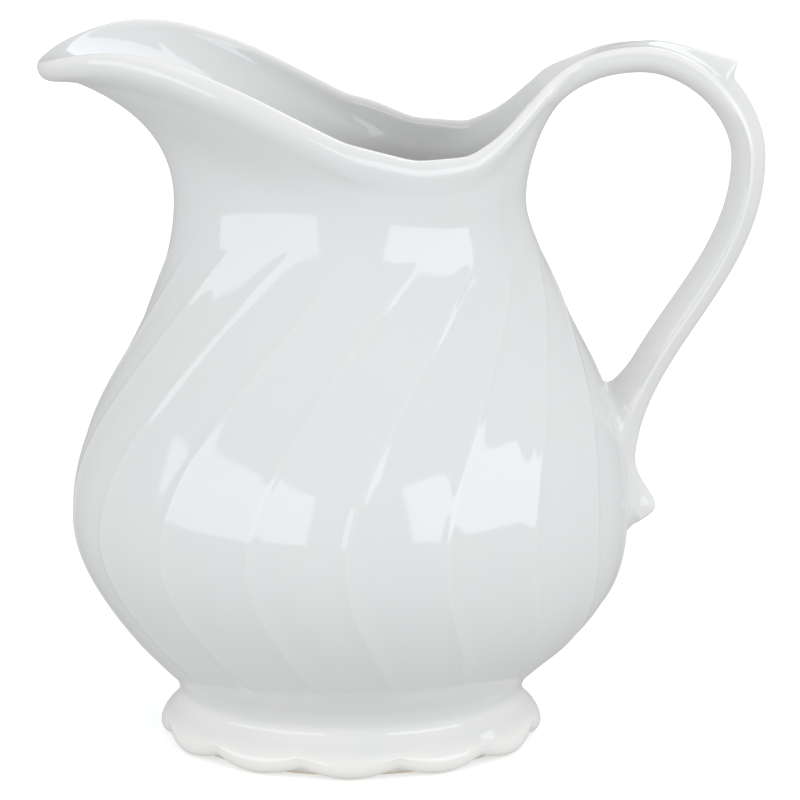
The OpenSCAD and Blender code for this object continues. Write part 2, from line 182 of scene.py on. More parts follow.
class MilkJug(bpy.types.PropertyGroup):
    """Everything that shapes the milk jug"""
    body: PointerProperty(type=JugBodySizes)
    mouth: PointerProperty(type=JugMouthSizes)
    handle: PointerProperty(type=JugHandleSizes)
    foot: PointerProperty(type=JugFootSizes)
    finish: PointerProperty(type=JugFinish)


def own_properties(group):
    """The properties that a property group adds of its own, by name."""
    return {p.identifier: p for p in group.bl_rna.properties if p.identifier not in ("rna_type", "name")}


def in_mm(group):
    """The sizes of a property group, lengths in millimetres and angles in degrees."""
    scale = {"LENGTH": 1 / MM, "ROTATION": 180 / math.pi}
    own = own_properties(group)
    return SimpleNamespace(**{name: getattr(group, name) * scale.get(own[name].unit, 1) for name in own})


def ramp(x, start, end):
    """Grows smoothly from 0 at the start to 1 at the end, which may lie below the start."""
    t = np.clip((x - start) / (end - start), 0, 1)
    return t * t * (3 - 2 * t)


def mix(a, b, t):
    return a + (b - a) * t


def unit(v):
    return v / np.linalg.norm(v, axis=-1, keepdims=True)


def dot(a, b):
    return (a * b).sum(-1, keepdims=True)


def sin(degrees):
    return np.sin(np.radians(degrees))


def cos(degrees):
    return np.cos(np.radians(degrees))


def bezier(points, t):
    """A cubic curve; the points and t may be arrays of curves."""
    t = np.asarray(t, float)[..., None]
    p = [np.asarray(q, float) for q in points]
    return p[0] * (1 - t) ** 3 + 3 * p[1] * (1 - t) ** 2 * t + 3 * p[2] * (1 - t) * t * t + p[3] * t ** 3


def turned(r, z, turn):
    """Points at a radius, a height and an angle round the axis."""
    return np.stack(np.broadcast_arrays(r * cos(turn), r * sin(turn), z), -1)


def closed(sheet):
    """A sheet with its first column repeated as its last."""
    return np.concatenate([sheet, sheet[:, :1]], 1)


def sheet_normals(points):
    """Outward normals of a sheet that runs round: rows run up and columns run anticlockwise."""
    rows = np.gradient(points, axis=0)
    columns = np.roll(points, -1, 1) - np.roll(points, 1, 1)
    return unit(np.cross(columns, rows))


class BodyForm:
    """Curves of the cast body, in millimetres"""
    # Share of the lower curve that the groove above the foot takes, and that the body runs under the slip
    groove, tuck = 0.12, 0.012

    def __init__(self, jug):
        b = self.sizes = in_mm(jug.body)
        seat = np.array([b.seat_r, b.seat_z])
        belly = np.array([b.belly_r, b.belly_z])
        neck = np.array([b.neck_r, b.neck_z])
        floor = np.array([0, b.seat_z + b.floor_t])
        inner = np.array([b.wall, 0])
        # Each curve is its start, its two pulls and its end
        self.low = [seat, seat + (8.4, 8.3), belly - (0, 21), belly]
        self.high = [belly, belly + (0, 30), neck - (0, 25), neck]
        self.throat = [p - inner for p in self.high]
        self.bowl = [floor, floor + (56, 0), belly - inner - (0, 21), belly - inner]
        t = np.linspace(0, 1, 300)
        profile = np.vstack([bezier(self.low, t), bezier(self.high, t[1:])])
        self.table = profile[:, 1], profile[:, 0], np.concatenate([self.low_lean(t), self.lean(t[1:])])

    def lean(self, t):
        """How far the shoulder leans towards the handle."""
        return self.sizes.shoulder_lean * sin(180 * t) ** 2

    def low_lean(self, t):
        """How far the belly leans that way below its widest part."""
        return self.sizes.belly_lean * sin(180 * np.clip((t - self.groove) / (1 - self.groove), 0, 1)) ** 2

    def swell(self, t):
        """How far the shoulder swells out on the handle's side."""
        return self.sizes.shoulder_full * ramp(t, 0.5, 0.7) * ramp(t, 1, 0.82)

    def outside(self, z):
        """Outside radius, sideways lean and slope of the wall at a height."""
        heights, radii, leans = self.table
        slope = np.interp(z, heights, np.gradient(radii, heights))
        return np.interp(z, heights, radii), np.interp(z, heights, leans), slope

    def clearance(self, points):
        """Distance of points from the belly's outside, and the belly's outward direction there."""
        r, lean, slope = self.outside(points[..., 2])
        x, y = points[..., 0] - lean, points[..., 1]
        around = np.hypot(x, y)
        steep = np.sqrt(1 + slope ** 2)
        out = np.stack([x / around, y / around, -slope], -1) / steep[..., None]
        return (around - r) / steep, out

    def lift(self, turn):
        """How much higher the neck's narrowest line lies at an angle."""
        w = np.abs((turn + 180) % 360 - 180)
        return self.sizes.neck_lift * ramp(w, 45, 120) * ramp(w, 180, 130)

    def swirl(self, z):
        """Angle that the flute lines have turned by at a height."""
        b = self.sizes
        return b.flute_turn * ((z - b.belly_z) / (b.neck_z - b.belly_z)) ** 2

    def off_line(self, turn, z):
        """Angle from the nearest flute line."""
        pitch = 360 / self.sizes.flute_count
        return (turn - FRONT - self.swirl(z) + pitch / 2) % pitch - pitch / 2

    def flute(self, turn, z, r):
        """Height of the raised lines at an angle, a height and a radius."""
        b = self.sizes
        line = (1 + (np.radians(self.off_line(turn, z)) * r / b.flute_w) ** 2) ** -1.5
        ends = ramp(z, b.seat_z + 5, b.seat_z + 14) * ramp(z, b.neck_z - 9, b.neck_z - 19)
        return b.flute_h * line * ends

    def column_turn(self, a, z):
        """Angle at a height of the column at angle a on the neck, crowded to the flute lines."""
        b = self.sizes
        half, crowding = 180 / b.flute_count, 1.7
        off = self.off_line(a, b.neck_z)
        close = np.sign(off) * (np.abs(off) / half) ** crowding * half - off
        return a - b.flute_turn + self.swirl(z) + close * ramp(z, b.neck_z - 4, b.neck_z - 18)

    def revolved(self, profile, turn, lean=0.0, swell=0.0, raised=0.0):
        """A sheet turned from a profile, with the neck drawn in to an oval."""
        b = self.sizes
        z = profile[:, 1:] + turn * 0
        high = ramp(z, b.belly_z, b.neck_z)
        r = profile[:, :1] + raised - b.neck_in * sin(turn) ** 2 * high
        lean, swell = np.reshape(lean, (-1, 1)), np.reshape(swell, (-1, 1))
        x = r * cos(turn) + lean + swell * (0.5 + 0.5 * cos(turn))
        return np.stack([x, r * sin(turn), z + self.lift(turn) * high], -1)

    def fluted(self, profile, lean, swell=0.0):
        """A turned sheet with the raised lines on it."""
        r, z = profile[:, :1], profile[:, 1:]
        turn = self.column_turn(RING, z)
        return self.revolved(profile, turn, lean, swell, self.flute(turn, z, r))


class MouthForm:
    """Curves of the wall above the neck, in millimetres"""
    # Neck angles of the lip and of the handle's root on each side, and of the wall that the root bends
    lip_span, root_turn, root_end = 80, 20, 60
    # Soft corners of the rim's line: place along the jug, change of slope and softness
    rim_bends = ((-44, -0.35, 3), (-25, -0.17, 3), (-1, 0.22, 0.8), (15.5, 0.3, 0.8),
                 (28, 0.42, 0.7), (32.5, 0.2, 1.5), (37.5, 0.38, 2))

    def __init__(self, jug):
        self.form = BodyForm(jug)
        m = self.sizes = in_mm(jug.mouth)
        h = self.handle = in_mm(jug.handle)
        self.root = np.array([h.root_x, 0, h.root_z])
        self.root_dir = np.array([cos(h.root_slope), 0, sin(h.root_slope)])
        self.root_up = np.array([-sin(h.root_slope), 0, cos(h.root_slope)])
        self.lip_len = m.lip_reach - m.wide_x
        self.back_len = self.root[0] + self.root_up[0] * h.gutter_d + m.wide_x
        self.back_span = 180 - self.lip_span - self.root_turn
        self.back_ease = self.lip_len * math.pi / 2 / self.lip_span * self.back_span / self.back_len - 1

    def rim_height(self, x):
        """Height of the rim behind its highest part: straight runs joined by soft corners."""
        falls = [turn * soft * np.logaddexp(0, (x - place) / soft) for place, turn, soft in self.rim_bends]
        return self.sizes.rim_top_z + sum(falls)

    def crest(self, a):
        """Crest of the rim for a neck angle in degrees."""
        m = self.sizes
        a = (np.asarray(a, float) + 180) % 360 - 180
        w = np.abs(a)
        turn = np.clip((180 - w) * 90 / self.lip_span, 0, 90)
        q = (180 - self.lip_span - w) / self.back_span
        f = q * (1 + self.back_ease) - self.back_ease * q * q
        at_lip = w > 180 - self.lip_span
        x = np.where(at_lip, -m.wide_x - self.lip_len * cos(turn), -m.wide_x + self.back_len * f)
        back_y = mix(m.half_w, self.handle.root_half_w, np.abs(f) ** 2.3)
        y = np.where(at_lip, m.half_w * sin(turn), back_y)
        top_turn = math.degrees(math.acos((m.rim_top_x - m.wide_x) / self.lip_len))
        lip_z = mix(m.lip_z, m.rim_top_z, ramp(turn, 0, top_turn))
        # The far side of the rim has a low hump
        hump = np.where(a > 0, 0.6, 0) * np.exp(-((x - 5) / 6) ** 2)
        z = np.where(turn < top_turn, lip_z, self.rim_height(x) + hump)
        return np.stack([x, y * np.where(a < 0, -1, 1), z], -1)

    def from_root(self, w):
        """Grows from 0 at the handle's root to 1 along the rim."""
        return ramp(w, self.root_turn, self.root_turn + 45)

    def edge(self, a):
        """Edge of the wall's middle surface, the way the wall runs to it, and the way it rounds."""
        m = self.sizes
        w = np.abs(a)
        sign = np.where(a < 0, -1, 1)
        side = sign[:, None] * Y_AXIS + X_AXIS + Z_AXIS
        outer = np.maximum(w, self.root_turn) * sign
        along = self.crest(outer - 0.5) - self.crest(outer + 0.5)
        out = np.cross(Z_AXIS, unit(along * (X_AXIS + Y_AXIS)))
        lip = np.where(w > 180 - self.lip_span, cos((180 - w) * 90 / self.lip_span), 0)
        flare = mix(m.side_flare, m.tip_flare, np.clip(lip, 0, 1) ** 2)[:, None]
        up = out * sin(flare) + Z_AXIS * cos(flare)
        arm = unit(self.root_up * 0.52 + Y_AXIS * 0.855)
        corner_dir = unit(self.root_dir * 0.85 + arm * 0.5) * side
        run = unit(mix(up, corner_dir, ramp(w, self.root_end, self.root_turn)[:, None]))
        along = unit(along)
        lift = unit(run - dot(run, along) * along)
        crest_edge = self.crest(outer) - lift * m.rim_round + out * self.from_root(w)[:, None] * m.crest_in
        corner = crest_edge[w == self.root_turn][0]
        corner_lift = lift[w == self.root_turn][0]
        half_w, rise = abs(corner[1]), (corner - self.root) @ self.root_up
        bend = (corner_lift @ self.root_up) / abs(corner_lift[1]) * half_w / rise
        f = np.clip(w / self.root_turn, 0, 1)[:, None]
        gutter = self.root + self.root_up * rise * f ** bend + Y_AXIS * half_w * f * side
        in_gutter = (w <= self.root_turn)[:, None]
        run = np.where(in_gutter, unit(mix(self.root_dir, corner_dir, f)), run)
        return np.where(in_gutter, gutter, crest_edge), run, lift

    def middle(self, a, t):
        """Middle surface of the wall: rows run from the neck up to the edge."""
        b = self.form.sizes
        edge, run, lift = self.edge(a)
        r = b.neck_r - b.wall / 2 - b.neck_in * sin(a) ** 2
        low = turned(r, b.neck_z + self.form.lift(a), a)
        lip = ramp(np.abs(a), 100, 180)[:, None]
        curve = [low, low + Z_AXIS * mix(8, 20, lip), edge - run * mix(7, 13, lip), edge]
        return np.stack([bezier(curve, np.full(len(a), s)) for s in t]), lift

    def on_joint(self, points):
        """Points laid on the plane where the handle is stuck on."""
        return points - self.root_dir * dot(points - self.root, self.root_dir)

    def wall(self):
        """Outside of the wall from the neck up, its rounded edge and its inside, by row and column."""
        m, half = self.sizes, self.form.sizes.wall / 2
        middle, lift = self.middle(RING, 1 - (1 - np.linspace(0, 1, 44)) ** 1.5)
        normal = sheet_normals(middle)
        steps = np.linalg.norm(np.diff(middle, axis=0), axis=-1)
        below = np.vstack([np.cumsum(steps[::-1], 0)[::-1], np.zeros((1, len(RING)))])
        w = np.abs(RING)
        from_root = self.from_root(w)
        lip = ramp(w, 120, 180)
        bead = m.bead_t * from_root * ramp(w, 60, 150) + m.lip_thick * lip
        roll = mix(mix(m.rim_round, m.rim_roll, from_root), m.lip_round, lip)
        inner_roll = mix(m.rim_round, m.rim_roll, lip)
        crest = -m.crest_in * from_root * (1 - lip)

        def side(depth, sign, extra, rounding):
            """Distance of one side from the middle surface, at a depth below the crest."""
            arch = np.sqrt(1 - np.clip(1 - depth / rounding, 0, 1) ** 2)
            reach = sign * (half + extra * (1 - ramp(depth, rounding, rounding + m.bead_h)))
            return mix(crest, reach, arch)[..., None]

        outer = middle + normal * side(below + m.rim_round, 1, bead, roll)
        inner = middle + normal * side(below + m.rim_round, -1, 0, inner_roll)
        k = np.linspace(0, 180, 13)[1:-1, None]
        depth = m.rim_round * (1 - sin(k)) + RING * 0
        across = np.where(k[..., None] < 90, side(depth, 1, bead, roll), side(depth, -1, 0, inner_roll))
        rounded = middle[-1] + lift * (m.rim_round * sin(k))[..., None] + normal[-1] * across
        joint = w <= self.root_turn
        for edge in (outer[-1], inner[-1], *rounded):
            edge[joint] = self.on_joint(edge[joint])
        return outer, rounded, inner

    def joint_loop(self):
        """Outline of the wall's cut end where the handle is stuck on."""
        outer, rounded, inner = self.wall()
        joint = np.abs(RING) <= self.root_turn
        left, right = np.flatnonzero(np.abs(RING) == self.root_turn)
        return np.concatenate([outer[-1][joint], rounded[:, right],
                               inner[-1][joint][::-1], rounded[::-1, left]])


def set_mode(mode):
    bpy.ops.object.mode_set(mode=mode)


def clear_selection():
    if bpy.context.mode != "OBJECT":
        set_mode("OBJECT")
    bpy.ops.object.select_all(action="DESELECT")


def work_on(*pieces):
    clear_selection()
    for piece in pieces:
        piece.select_set(True)
    bpy.context.view_layer.objects.active = pieces[0]


def choose(piece, kind, chosen):
    """Selects the chosen edges or polygons of a piece and leaves it in edit mode."""
    work_on(piece)
    bpy.context.tool_settings.mesh_select_mode = (False, kind == "edges", kind == "polygons")
    set_mode("EDIT")
    bpy.ops.mesh.select_all(action="DESELECT")
    set_mode("OBJECT")
    getattr(piece.data, kind).foreach_set("select", chosen)
    set_mode("EDIT")


def read(items, name, width, kind=float):
    """One property of all items of a mesh, a row for each item."""
    flat = np.empty(len(items) * width, kind)
    items.foreach_get(name, flat)
    return flat.reshape(-1, width)


def points_of(mesh):
    """Places of a mesh's points in millimetres."""
    return read(mesh.vertices, "co", 3) / MM


def edge_ends(mesh):
    """Vertex numbers of a mesh's edges, two for each edge."""
    return read(mesh.edges, "vertices", 2, int)


def corners_of(mesh):
    """Vertex numbers of a mesh's four-cornered faces."""
    return read(mesh.loops, "vertex_index", 1, int).reshape(-1, 4)


def clay_sheet(name, points):
    """Adds a flat grid and bends it to a sheet of points, given in millimetres by row and column."""
    rows, columns = points.shape[:2]
    clear_selection()
    bpy.ops.mesh.primitive_grid_add(x_subdivisions=columns - 1, y_subdivisions=rows - 1, size=1)
    piece = bpy.context.active_object
    piece.name = piece.data.name = name
    flat = read(piece.data.vertices, "co", 3)
    row = np.rint((flat[:, 1] + 0.5) * (rows - 1)).astype(int)
    column = np.rint((flat[:, 0] + 0.5) * (columns - 1)).astype(int)
    piece.data.vertices.foreach_set("co", (points[row, column] * MM).ravel())
    piece.data.update()
    return piece, row, column


def close_seams(piece):
    """Merges the points that meet along seams and at poles."""
    work_on(piece)
    set_mode("EDIT")
    bpy.ops.mesh.select_all(action="SELECT")
    bpy.ops.mesh.remove_doubles(threshold=2e-6)
    set_mode("OBJECT")


def set_material(piece, material):
    piece.data.materials.clear()
    piece.data.materials.append(material)


def add_node(tree, kind, inputs=None, **settings):
    """Adds a node with its settings, values and links."""
    made = tree.nodes.new(kind)
    for name, value in settings.items():
        setattr(made, name, value)
    for socket, value in (inputs or {}).items():
        if isinstance(value, bpy.types.NodeSocket):
            tree.links.new(value, made.inputs[socket])
        else:
            made.inputs[socket].default_value = value
    return made


def glazed_porcelain(name, finish, warmth_and_painted_light=0.0, bare_foot=False):
    """Cast porcelain dipped in clear glaze: white clay under a glossy skin, cool where the glaze pools in
    hollows, lighter and warmer over edges, partly where it runs thin and partly as a painted highlight,
    with a faint wave in the gloss. Warmth tints the whole piece lighter like thin glaze, partly as painted
    light. A bare foot shows matt biscuit where the glaze was wiped off."""
    cloud_size, wave_size, grain_size = 22 * MM, 9 * MM, 2.5 * MM
    material = bpy.data.materials.new(name)
    material.use_nodes = True
    tree = material.node_tree
    tree.nodes.clear()
    place = add_node(tree, "ShaderNodeTexCoord").outputs["Object"]
    run = add_node(tree, "ShaderNodeAttribute", attribute_name="glaze_run_and_painted_light").outputs["Fac"]
    cloud = add_node(tree, "ShaderNodeTexNoise", {
        "Vector": place, "Scale": 1 / cloud_size, "Detail": 3.0}).outputs["Fac"]
    # The thin range paints convex edges lighter, partly thin glaze and partly a painted highlight
    # Each range: its value, where that begins and ends, and what it becomes there
    thick, thin_and_highlight, drift, gloss = (
        add_node(tree, "ShaderNodeMapRange", dict(enumerate(span))).outputs["Result"] for span in (
            (run, 0.0, -0.35, 0.0, 0.45), (run, 0.06, 0.36, warmth_and_painted_light, 0.9), (cloud, 0.3, 0.7, 0.0, 0.16),
            (cloud, 0.3, 0.7, finish.roughness * 0.8, finish.roughness * 1.3)))
    pool = add_node(tree, "ShaderNodeMath", {
        0: thick, 1: drift}, operation="ADD", use_clamp=True).outputs[0]
    # A Mix node's sockets 6 and 7 are its colours and output 2 is the mixed one
    tint = (*finish.glaze, 1)
    for part, coat in ((thin_and_highlight, finish.glaze_thin), (pool, finish.glaze_pool)):
        tint = add_node(tree, "ShaderNodeMix", {
            0: part, 6: tint, 7: (*coat, 1)}, data_type="RGBA").outputs[2]
    wave = add_node(tree, "ShaderNodeTexNoise", {
        "Vector": place, "Scale": 1 / wave_size, "Detail": 1.0}).outputs["Fac"]
    skin = add_node(tree, "ShaderNodeBump", {
        "Height": wave, "Strength": 0.35, "Distance": 0.05 * MM}).outputs["Normal"]
    if bare_foot:
        grain = add_node(tree, "ShaderNodeTexNoise", {
            "Vector": place, "Scale": 1 / grain_size, "Detail": 4.0}).outputs["Fac"]
        height = add_node(tree, "ShaderNodeSeparateXYZ", {0: place}).outputs["Z"]
        ragged = add_node(tree, "ShaderNodeMath", {
            0: grain, 1: 0.9 * MM, 2: height}, operation="MULTIPLY_ADD").outputs[0]
        bare = add_node(tree, "ShaderNodeMapRange", {
            0: ragged, 1: 1.3 * MM, 2: 0.7 * MM, 3: 0.0, 4: 1.0}).outputs["Result"]
        tint = add_node(tree, "ShaderNodeMix", {
            0: bare, 6: tint, 7: (*finish.biscuit, 1)}, data_type="RGBA").outputs[2]
        gloss = add_node(tree, "ShaderNodeMix", {0: bare, 2: gloss, 3: 0.75}).outputs[0]
    shader = add_node(tree, "ShaderNodeBsdfPrincipled", {
        "Base Color": tint, "Roughness": gloss, "IOR": 1.58, "Normal": skin})
    add_node(tree, "ShaderNodeOutputMaterial", {"Surface": shader.outputs["BSDF"]})
    return material


def glaze_run_and_painted_light(piece):
    """Stores how the glaze runs: above 0 where it thins over an edge, below 0 where it pools, in 1/mm.
    The material paints the parts above 0 lighter, partly as a painted highlight. It lies evenly across the
    groove above the foot, and it grows towards the foot, partly thin glaze and partly painted light there."""
    mesh = piece.data
    co = points_of(mesh)
    normal = read(mesh.vertex_normals, "vector", 3)
    ends = edge_ends(mesh)
    here, there = np.concatenate([ends, ends[:, ::-1]]).T
    way = co[there] - co[here]
    span = np.maximum((way ** 2).sum(1), 1e-4)
    count = np.maximum(np.bincount(here, minlength=len(co)), 1)

    def mean(values):
        """Mean of a value over the edges at each point."""
        return np.bincount(here, values, len(co)) / count

    bend = np.clip(mean(-2 * (way * normal[here]).sum(1) / span), -1, 1)
    for _ in range(12):
        bend = mix(bend, mean(bend[there]), 0.5)
    z, (low, high), foot_thin_and_painted_light = co[:, 2], GROOVE, 0.27
    in_groove = ramp(z, low, low + 1.5) * ramp(z, high, high - 3)
    # Towards the foot the tint grows, partly thin glaze and partly painted light on the foot's flare
    bend = bend * (1 - in_groove) + foot_thin_and_painted_light * ramp(z, 13.5, 10.5)
    store = mesh.attributes.new("glaze_run_and_painted_light", "FLOAT", "POINT")
    store.data.foreach_set("value", bend.astype(np.float32))


class JUG_OT_body(bpy.types.Operator):
    """Models the cast body: fluted belly, neck, mouth wall with its beaded rim, throat and bowl"""
    bl_idname = "jug.body"
    bl_label = "Jug Body"

    def execute(self, context):
        jug = context.scene.milk_jug
        form, mouth = BodyForm(jug), MouthForm(jug)
        b = form.sizes
        hollow_r, hollow_h, edge_in = 36.9, 1.2, 0.2
        under = np.array([[hollow_r, b.seat_z], [b.seat_r - edge_in, b.seat_z]])
        low_t = mix(form.groove - form.tuck, 1, np.linspace(0, 1, 42) ** 1.1)
        high_t = np.linspace(0, 1, 56)[1:]
        throat_t = np.linspace(1, 0, 28)[1:]
        bowl_t = np.linspace(1, 0, 26)[1:-1]
        outer, rounded, inner = mouth.wall()
        pole = np.zeros((1, len(RING), 3))
        outside = np.concatenate([
            pole + Z_AXIS * (b.seat_z + hollow_h), form.revolved(under, RING),
            form.fluted(bezier(form.low, low_t), form.low_lean(low_t)),
            form.fluted(bezier(form.high, high_t), form.lean(high_t), form.swell(high_t)), outer[1:]])
        throat, bowl = bezier(form.throat, throat_t), bezier(form.bowl, bowl_t)
        throat = form.revolved(throat, RING, form.lean(throat_t), form.swell(throat_t))
        bowl = form.revolved(bowl, RING, form.low_lean(bowl_t))
        floor = pole + Z_AXIS * form.bowl[0][1]
        sheet = np.concatenate([outside, rounded, inner[::-1], throat, bowl, floor])
        piece, row, column = clay_sheet("cast_body", closed(sheet))
        face = corners_of(piece.data)
        turn = np.append(RING, 180)[column[face]]
        edge_row = len(outside) - 1
        in_edge = (row[face] >= edge_row).all(1) & (row[face] <= edge_row + len(rounded) + 1).all(1)
        choose(piece, "polygons", in_edge & (np.abs(turn) <= mouth.root_turn).all(1))
        bpy.ops.mesh.delete(type="FACE")
        bpy.ops.mesh.select_all(action="SELECT")
        bpy.ops.mesh.delete_loose()
        close_seams(piece)
        return {"FINISHED"}


class HandleForm:
    """Path and sections of the handle, in millimetres. Places along the path are 0 at the upper joint,
    1 on the crown, 2 at the outer side, 3 on the belly and 4 at the tail"""
    # Places where the thumb spur begins, is nearly full, peaks and ends
    spur_start, spur_full, spur_tip, spur_end = 1.22, 1.45, 1.5, 1.535
    # Place up to which the gutter's section turns into the strap's
    root_span = 0.55

    def __init__(self, jug):
        self.body, self.mouth = BodyForm(jug), MouthForm(jug)
        h = self.sizes = in_mm(jug.handle)
        self.loop = self.mouth.joint_loop()
        b, m = self.body.sizes, self.mouth
        flat = np.array([0, 2])
        start = (m.root + m.root_up * h.gutter_d + m.root_dir * h.slip_t)[flat]
        crown = start + (h.crown_run, h.crown_rise)
        side = crown + (h.crown_r, -h.crown_r)
        quarter = 0.5523 * h.crown_r
        tail = np.array([b.belly_r + h.slip_t + h.tail_out, b.belly_z - h.tail_drop])
        waist_z = tail[1] + h.joint_h / 2
        r, lean, _ = self.body.outside(waist_z)
        waist = np.array([r + lean + h.slip_t + 0.2, waist_z])
        # Each stretch is its start, its two pulls and its end; a quarter circle's pulls draw the crown
        self.path = [
            [start, start + m.root_dir[flat] * 6.3, crown - (12, 0), crown],
            [crown, crown + (quarter * 0.93, 0), side + (0, quarter * 0.9), side],
            [side, side - (0, 29), waist + (2.4, 26), waist],
            [waist, waist - (0.9, 7), tail + (-2, 4), tail]]
        local = self.loop - m.root
        self.root_section = np.stack([local[:, 1], local @ m.root_up - h.gutter_d], -1)

    def along(self, s):
        """Points of the path."""
        k = np.clip(np.floor(s).astype(int), 0, 3)
        points = [np.array([stretch[i] for stretch in self.path])[k] for i in range(4)]
        return bezier(points, s - k)

    def heading(self, s):
        """Directions of the path."""
        return unit(self.along(np.minimum(4, s + 0.004)) - self.along(np.maximum(0, s - 0.004)))

    def section(self, s):
        """Section of the strap at one place, as [across, out] pairs in the order of the joint's loop."""
        h, ridge, rib_w, spur_w = self.sizes, 1.4, 2.9, 2.2
        wide = mix(h.strap_half_w, h.tail_half_w, ramp(s, 3.2, 4)) + h.strap_bulge
        # On the belly the ridges sink
        fade = ramp(s, 2.7, 3.2)
        sink = 1.3 * fade
        # The underside is deeper at the crown and low down, with a web in the crotch and a wedge at the side
        depth = h.strap_depth + 1.3 * ramp(s, 2, 1) + 0.6 * ramp(s, 2, 3) + 5 * ramp(s, 2.72, 2.97)
        wedge = ramp(s, 1.3, 1.9) * ramp(s, 3.5, 3.1)
        f, rounded = np.linspace(-1, 1, 41), 0.72
        turn = np.clip(np.abs(f) / rounded, 0, 1) * 90
        climb = np.clip((np.abs(f) - rounded) / (1 - rounded), 0, 1)
        across = mix(sin(turn), turn / 90, 0.5 * wedge)
        drop = mix(cos(turn), 1 - turn / 90, 0.5 * wedge)
        low = -depth * mix(mix(0.36, 0.22, wedge), 1, drop)
        under = np.stack([np.sign(f) * mix(wide * across, wide, ramp(climb, 0, 1)),
                          mix(low, -ridge - sink, climb)], -1)
        # The top is hollow between its ridges near the rim and grows convex down the strap
        convex = 0.35 * ramp(s, 0.55, 0.95) + 0.65 * ramp(s, 1.6, 2.1)
        round_end = mix(98, 50, convex)
        arc = np.linspace(0, round_end, 13)[1:-1]
        crest = np.stack([wide - ridge + ridge * cos(arc), -ridge + ridge * sin(arc) - sink], -1)
        brink = wide - ridge + ridge * cos(round_end)
        y = np.linspace(1, -1, 41) * brink
        tip = max(0, min(1, (s - self.spur_start) / (self.spur_tip - self.spur_start))) ** 2.2
        if s > self.spur_tip:
            tip = 1 - ramp(s, self.spur_tip, self.spur_end)
        spur = h.spur_h * tip * np.exp(-(np.abs(y) / spur_w) ** 4)
        dome = 1 - (y / brink) ** 2
        gutter = 2.4 * ramp(s, 0.75, 0.35) * dome
        valley = 0.12 * ramp(np.abs(y), brink, brink - 2.4) * (1 - convex)
        sunk = ridge * (1 - sin(round_end))
        rise = h.rib_h * ramp(s, 0.7, 1.55) + sunk + 0.85 * fade
        rib = rise * mix(np.exp(-(np.abs(y) / rib_w) ** 2.1), dome, convex)
        top = np.stack([y, rib + spur - sunk - sink - valley - gutter], -1)
        return np.concatenate([under, crest, top, (crest * (-1, 1))[::-1]])

    def rings(self, stops):
        """Rings of points round the strap, one for each stop along the path."""
        made = []
        for s in stops:
            q = mix(self.root_section, self.section(s), ramp(s, 0, self.root_span))
            (x, z), (hx, hz) = self.along(np.array(s)), self.heading(np.array(s))
            made.append(np.stack([x - hz * q[:, 1], q[:, 0], z + hx * q[:, 1]], -1))
        return np.array(made)

    def end_rings(self, last):
        """Rings that round off the tail and close it."""
        hx, hz = self.heading(np.array(4.0))
        ahead = np.array([hx, 0, hz])
        inward = unit(np.cross(ahead, np.roll(last, -1, 0) - np.roll(last, 1, 0)))
        bends = np.linspace(0, 90, 10)[1:, None, None]
        rounded = last + self.sizes.tail_round * (inward * (1 - cos(bends)) + ahead * sin(bends))
        shrink = np.array([0.6, 0.2])[:, None, None]
        return np.concatenate([rounded, mix(rounded[-1].mean(0), rounded[-1], shrink)])

    def sponged(self, rings, weight, rounds):
        """Rings smoothed where the weight says, as a wet sponge does."""
        rings = rings.copy()
        for _ in range(rounds):
            near = (np.roll(rings, 1, 1) + np.roll(rings, -1, 1))[1:-1] + rings[2:] + rings[:-2]
            rings[1:-1] += weight[1:-1] * (near / 4 - rings[1:-1])
        return rings

    def strap(self):
        """Rings of the whole handle, sponged at the spur and low down."""
        full, past_spur = self.spur_full, self.spur_end + 0.01
        # Start and end of each stretch and the rings in it, closest at the spur and the crotch
        stretches = ((0, 1, 55), (1, full, 23), (full, past_spur, 23), (past_spur, 2, 21),
                     (2, 2.7, 33), (2.7, 3.05, 39), (3.05, 3.7, 29), (3.7, 4, 19))
        stops = [np.linspace(start, end, count, endpoint=False) for start, end, count in stretches]
        stops = np.concatenate([*stops, [4.0]])
        rings = self.rings(stops)
        rings = np.concatenate([rings, self.end_rings(rings[-1])])
        spur = rings[np.argmin(np.abs(stops - self.spur_tip))].max(0) * (X_AXIS + Z_AXIS)
        from_spur = np.linalg.norm(rings - spur, axis=-1, keepdims=True)
        rings = self.sponged(rings, 0.7 * ramp(from_spur, 7, 3), 36)
        return self.sponged(rings, 0.6 * ramp(rings[..., 2:], 80, 74), 24)

    def into_belly(self, rings):
        """Rings bent into the belly in a soft fillet, and which of their points belong to the slip."""
        normal, z = sheet_normals(rings), rings[..., 2:]
        # The fillet is half as wide under the tail
        reach = self.sizes.fillet_r * mix(1, 0.5, ramp(normal[..., 2:], 0, -2 / 3) * ramp(z, 66, 58))
        gap, out = self.body.clearance(rings)
        facing = dot(normal, out)
        steep = np.sqrt(np.maximum(1 - facing ** 2, 0.01))
        climb = (out - facing * normal) / np.maximum(steep, 0.3)
        spread = (normal - facing * out) / np.maximum(steep, 0.3)
        u = np.clip(gap[..., None] / steep / reach, 0, 1)
        low = z < LOW_END
        moved = rings + low * reach * ((u * u - u) * climb + (1 - u) ** 2 * spread)
        moved = self.sponged(moved, 0.5 * ramp(moved[..., 2:], 84, 78), 4)
        gap, out = self.body.clearance(moved)
        deepest, slip_edge = 0.8, 0.6
        too_deep = np.minimum(0, gap + deepest)[..., None] * low
        return moved - out * too_deep, (gap < slip_edge) & low[..., 0]


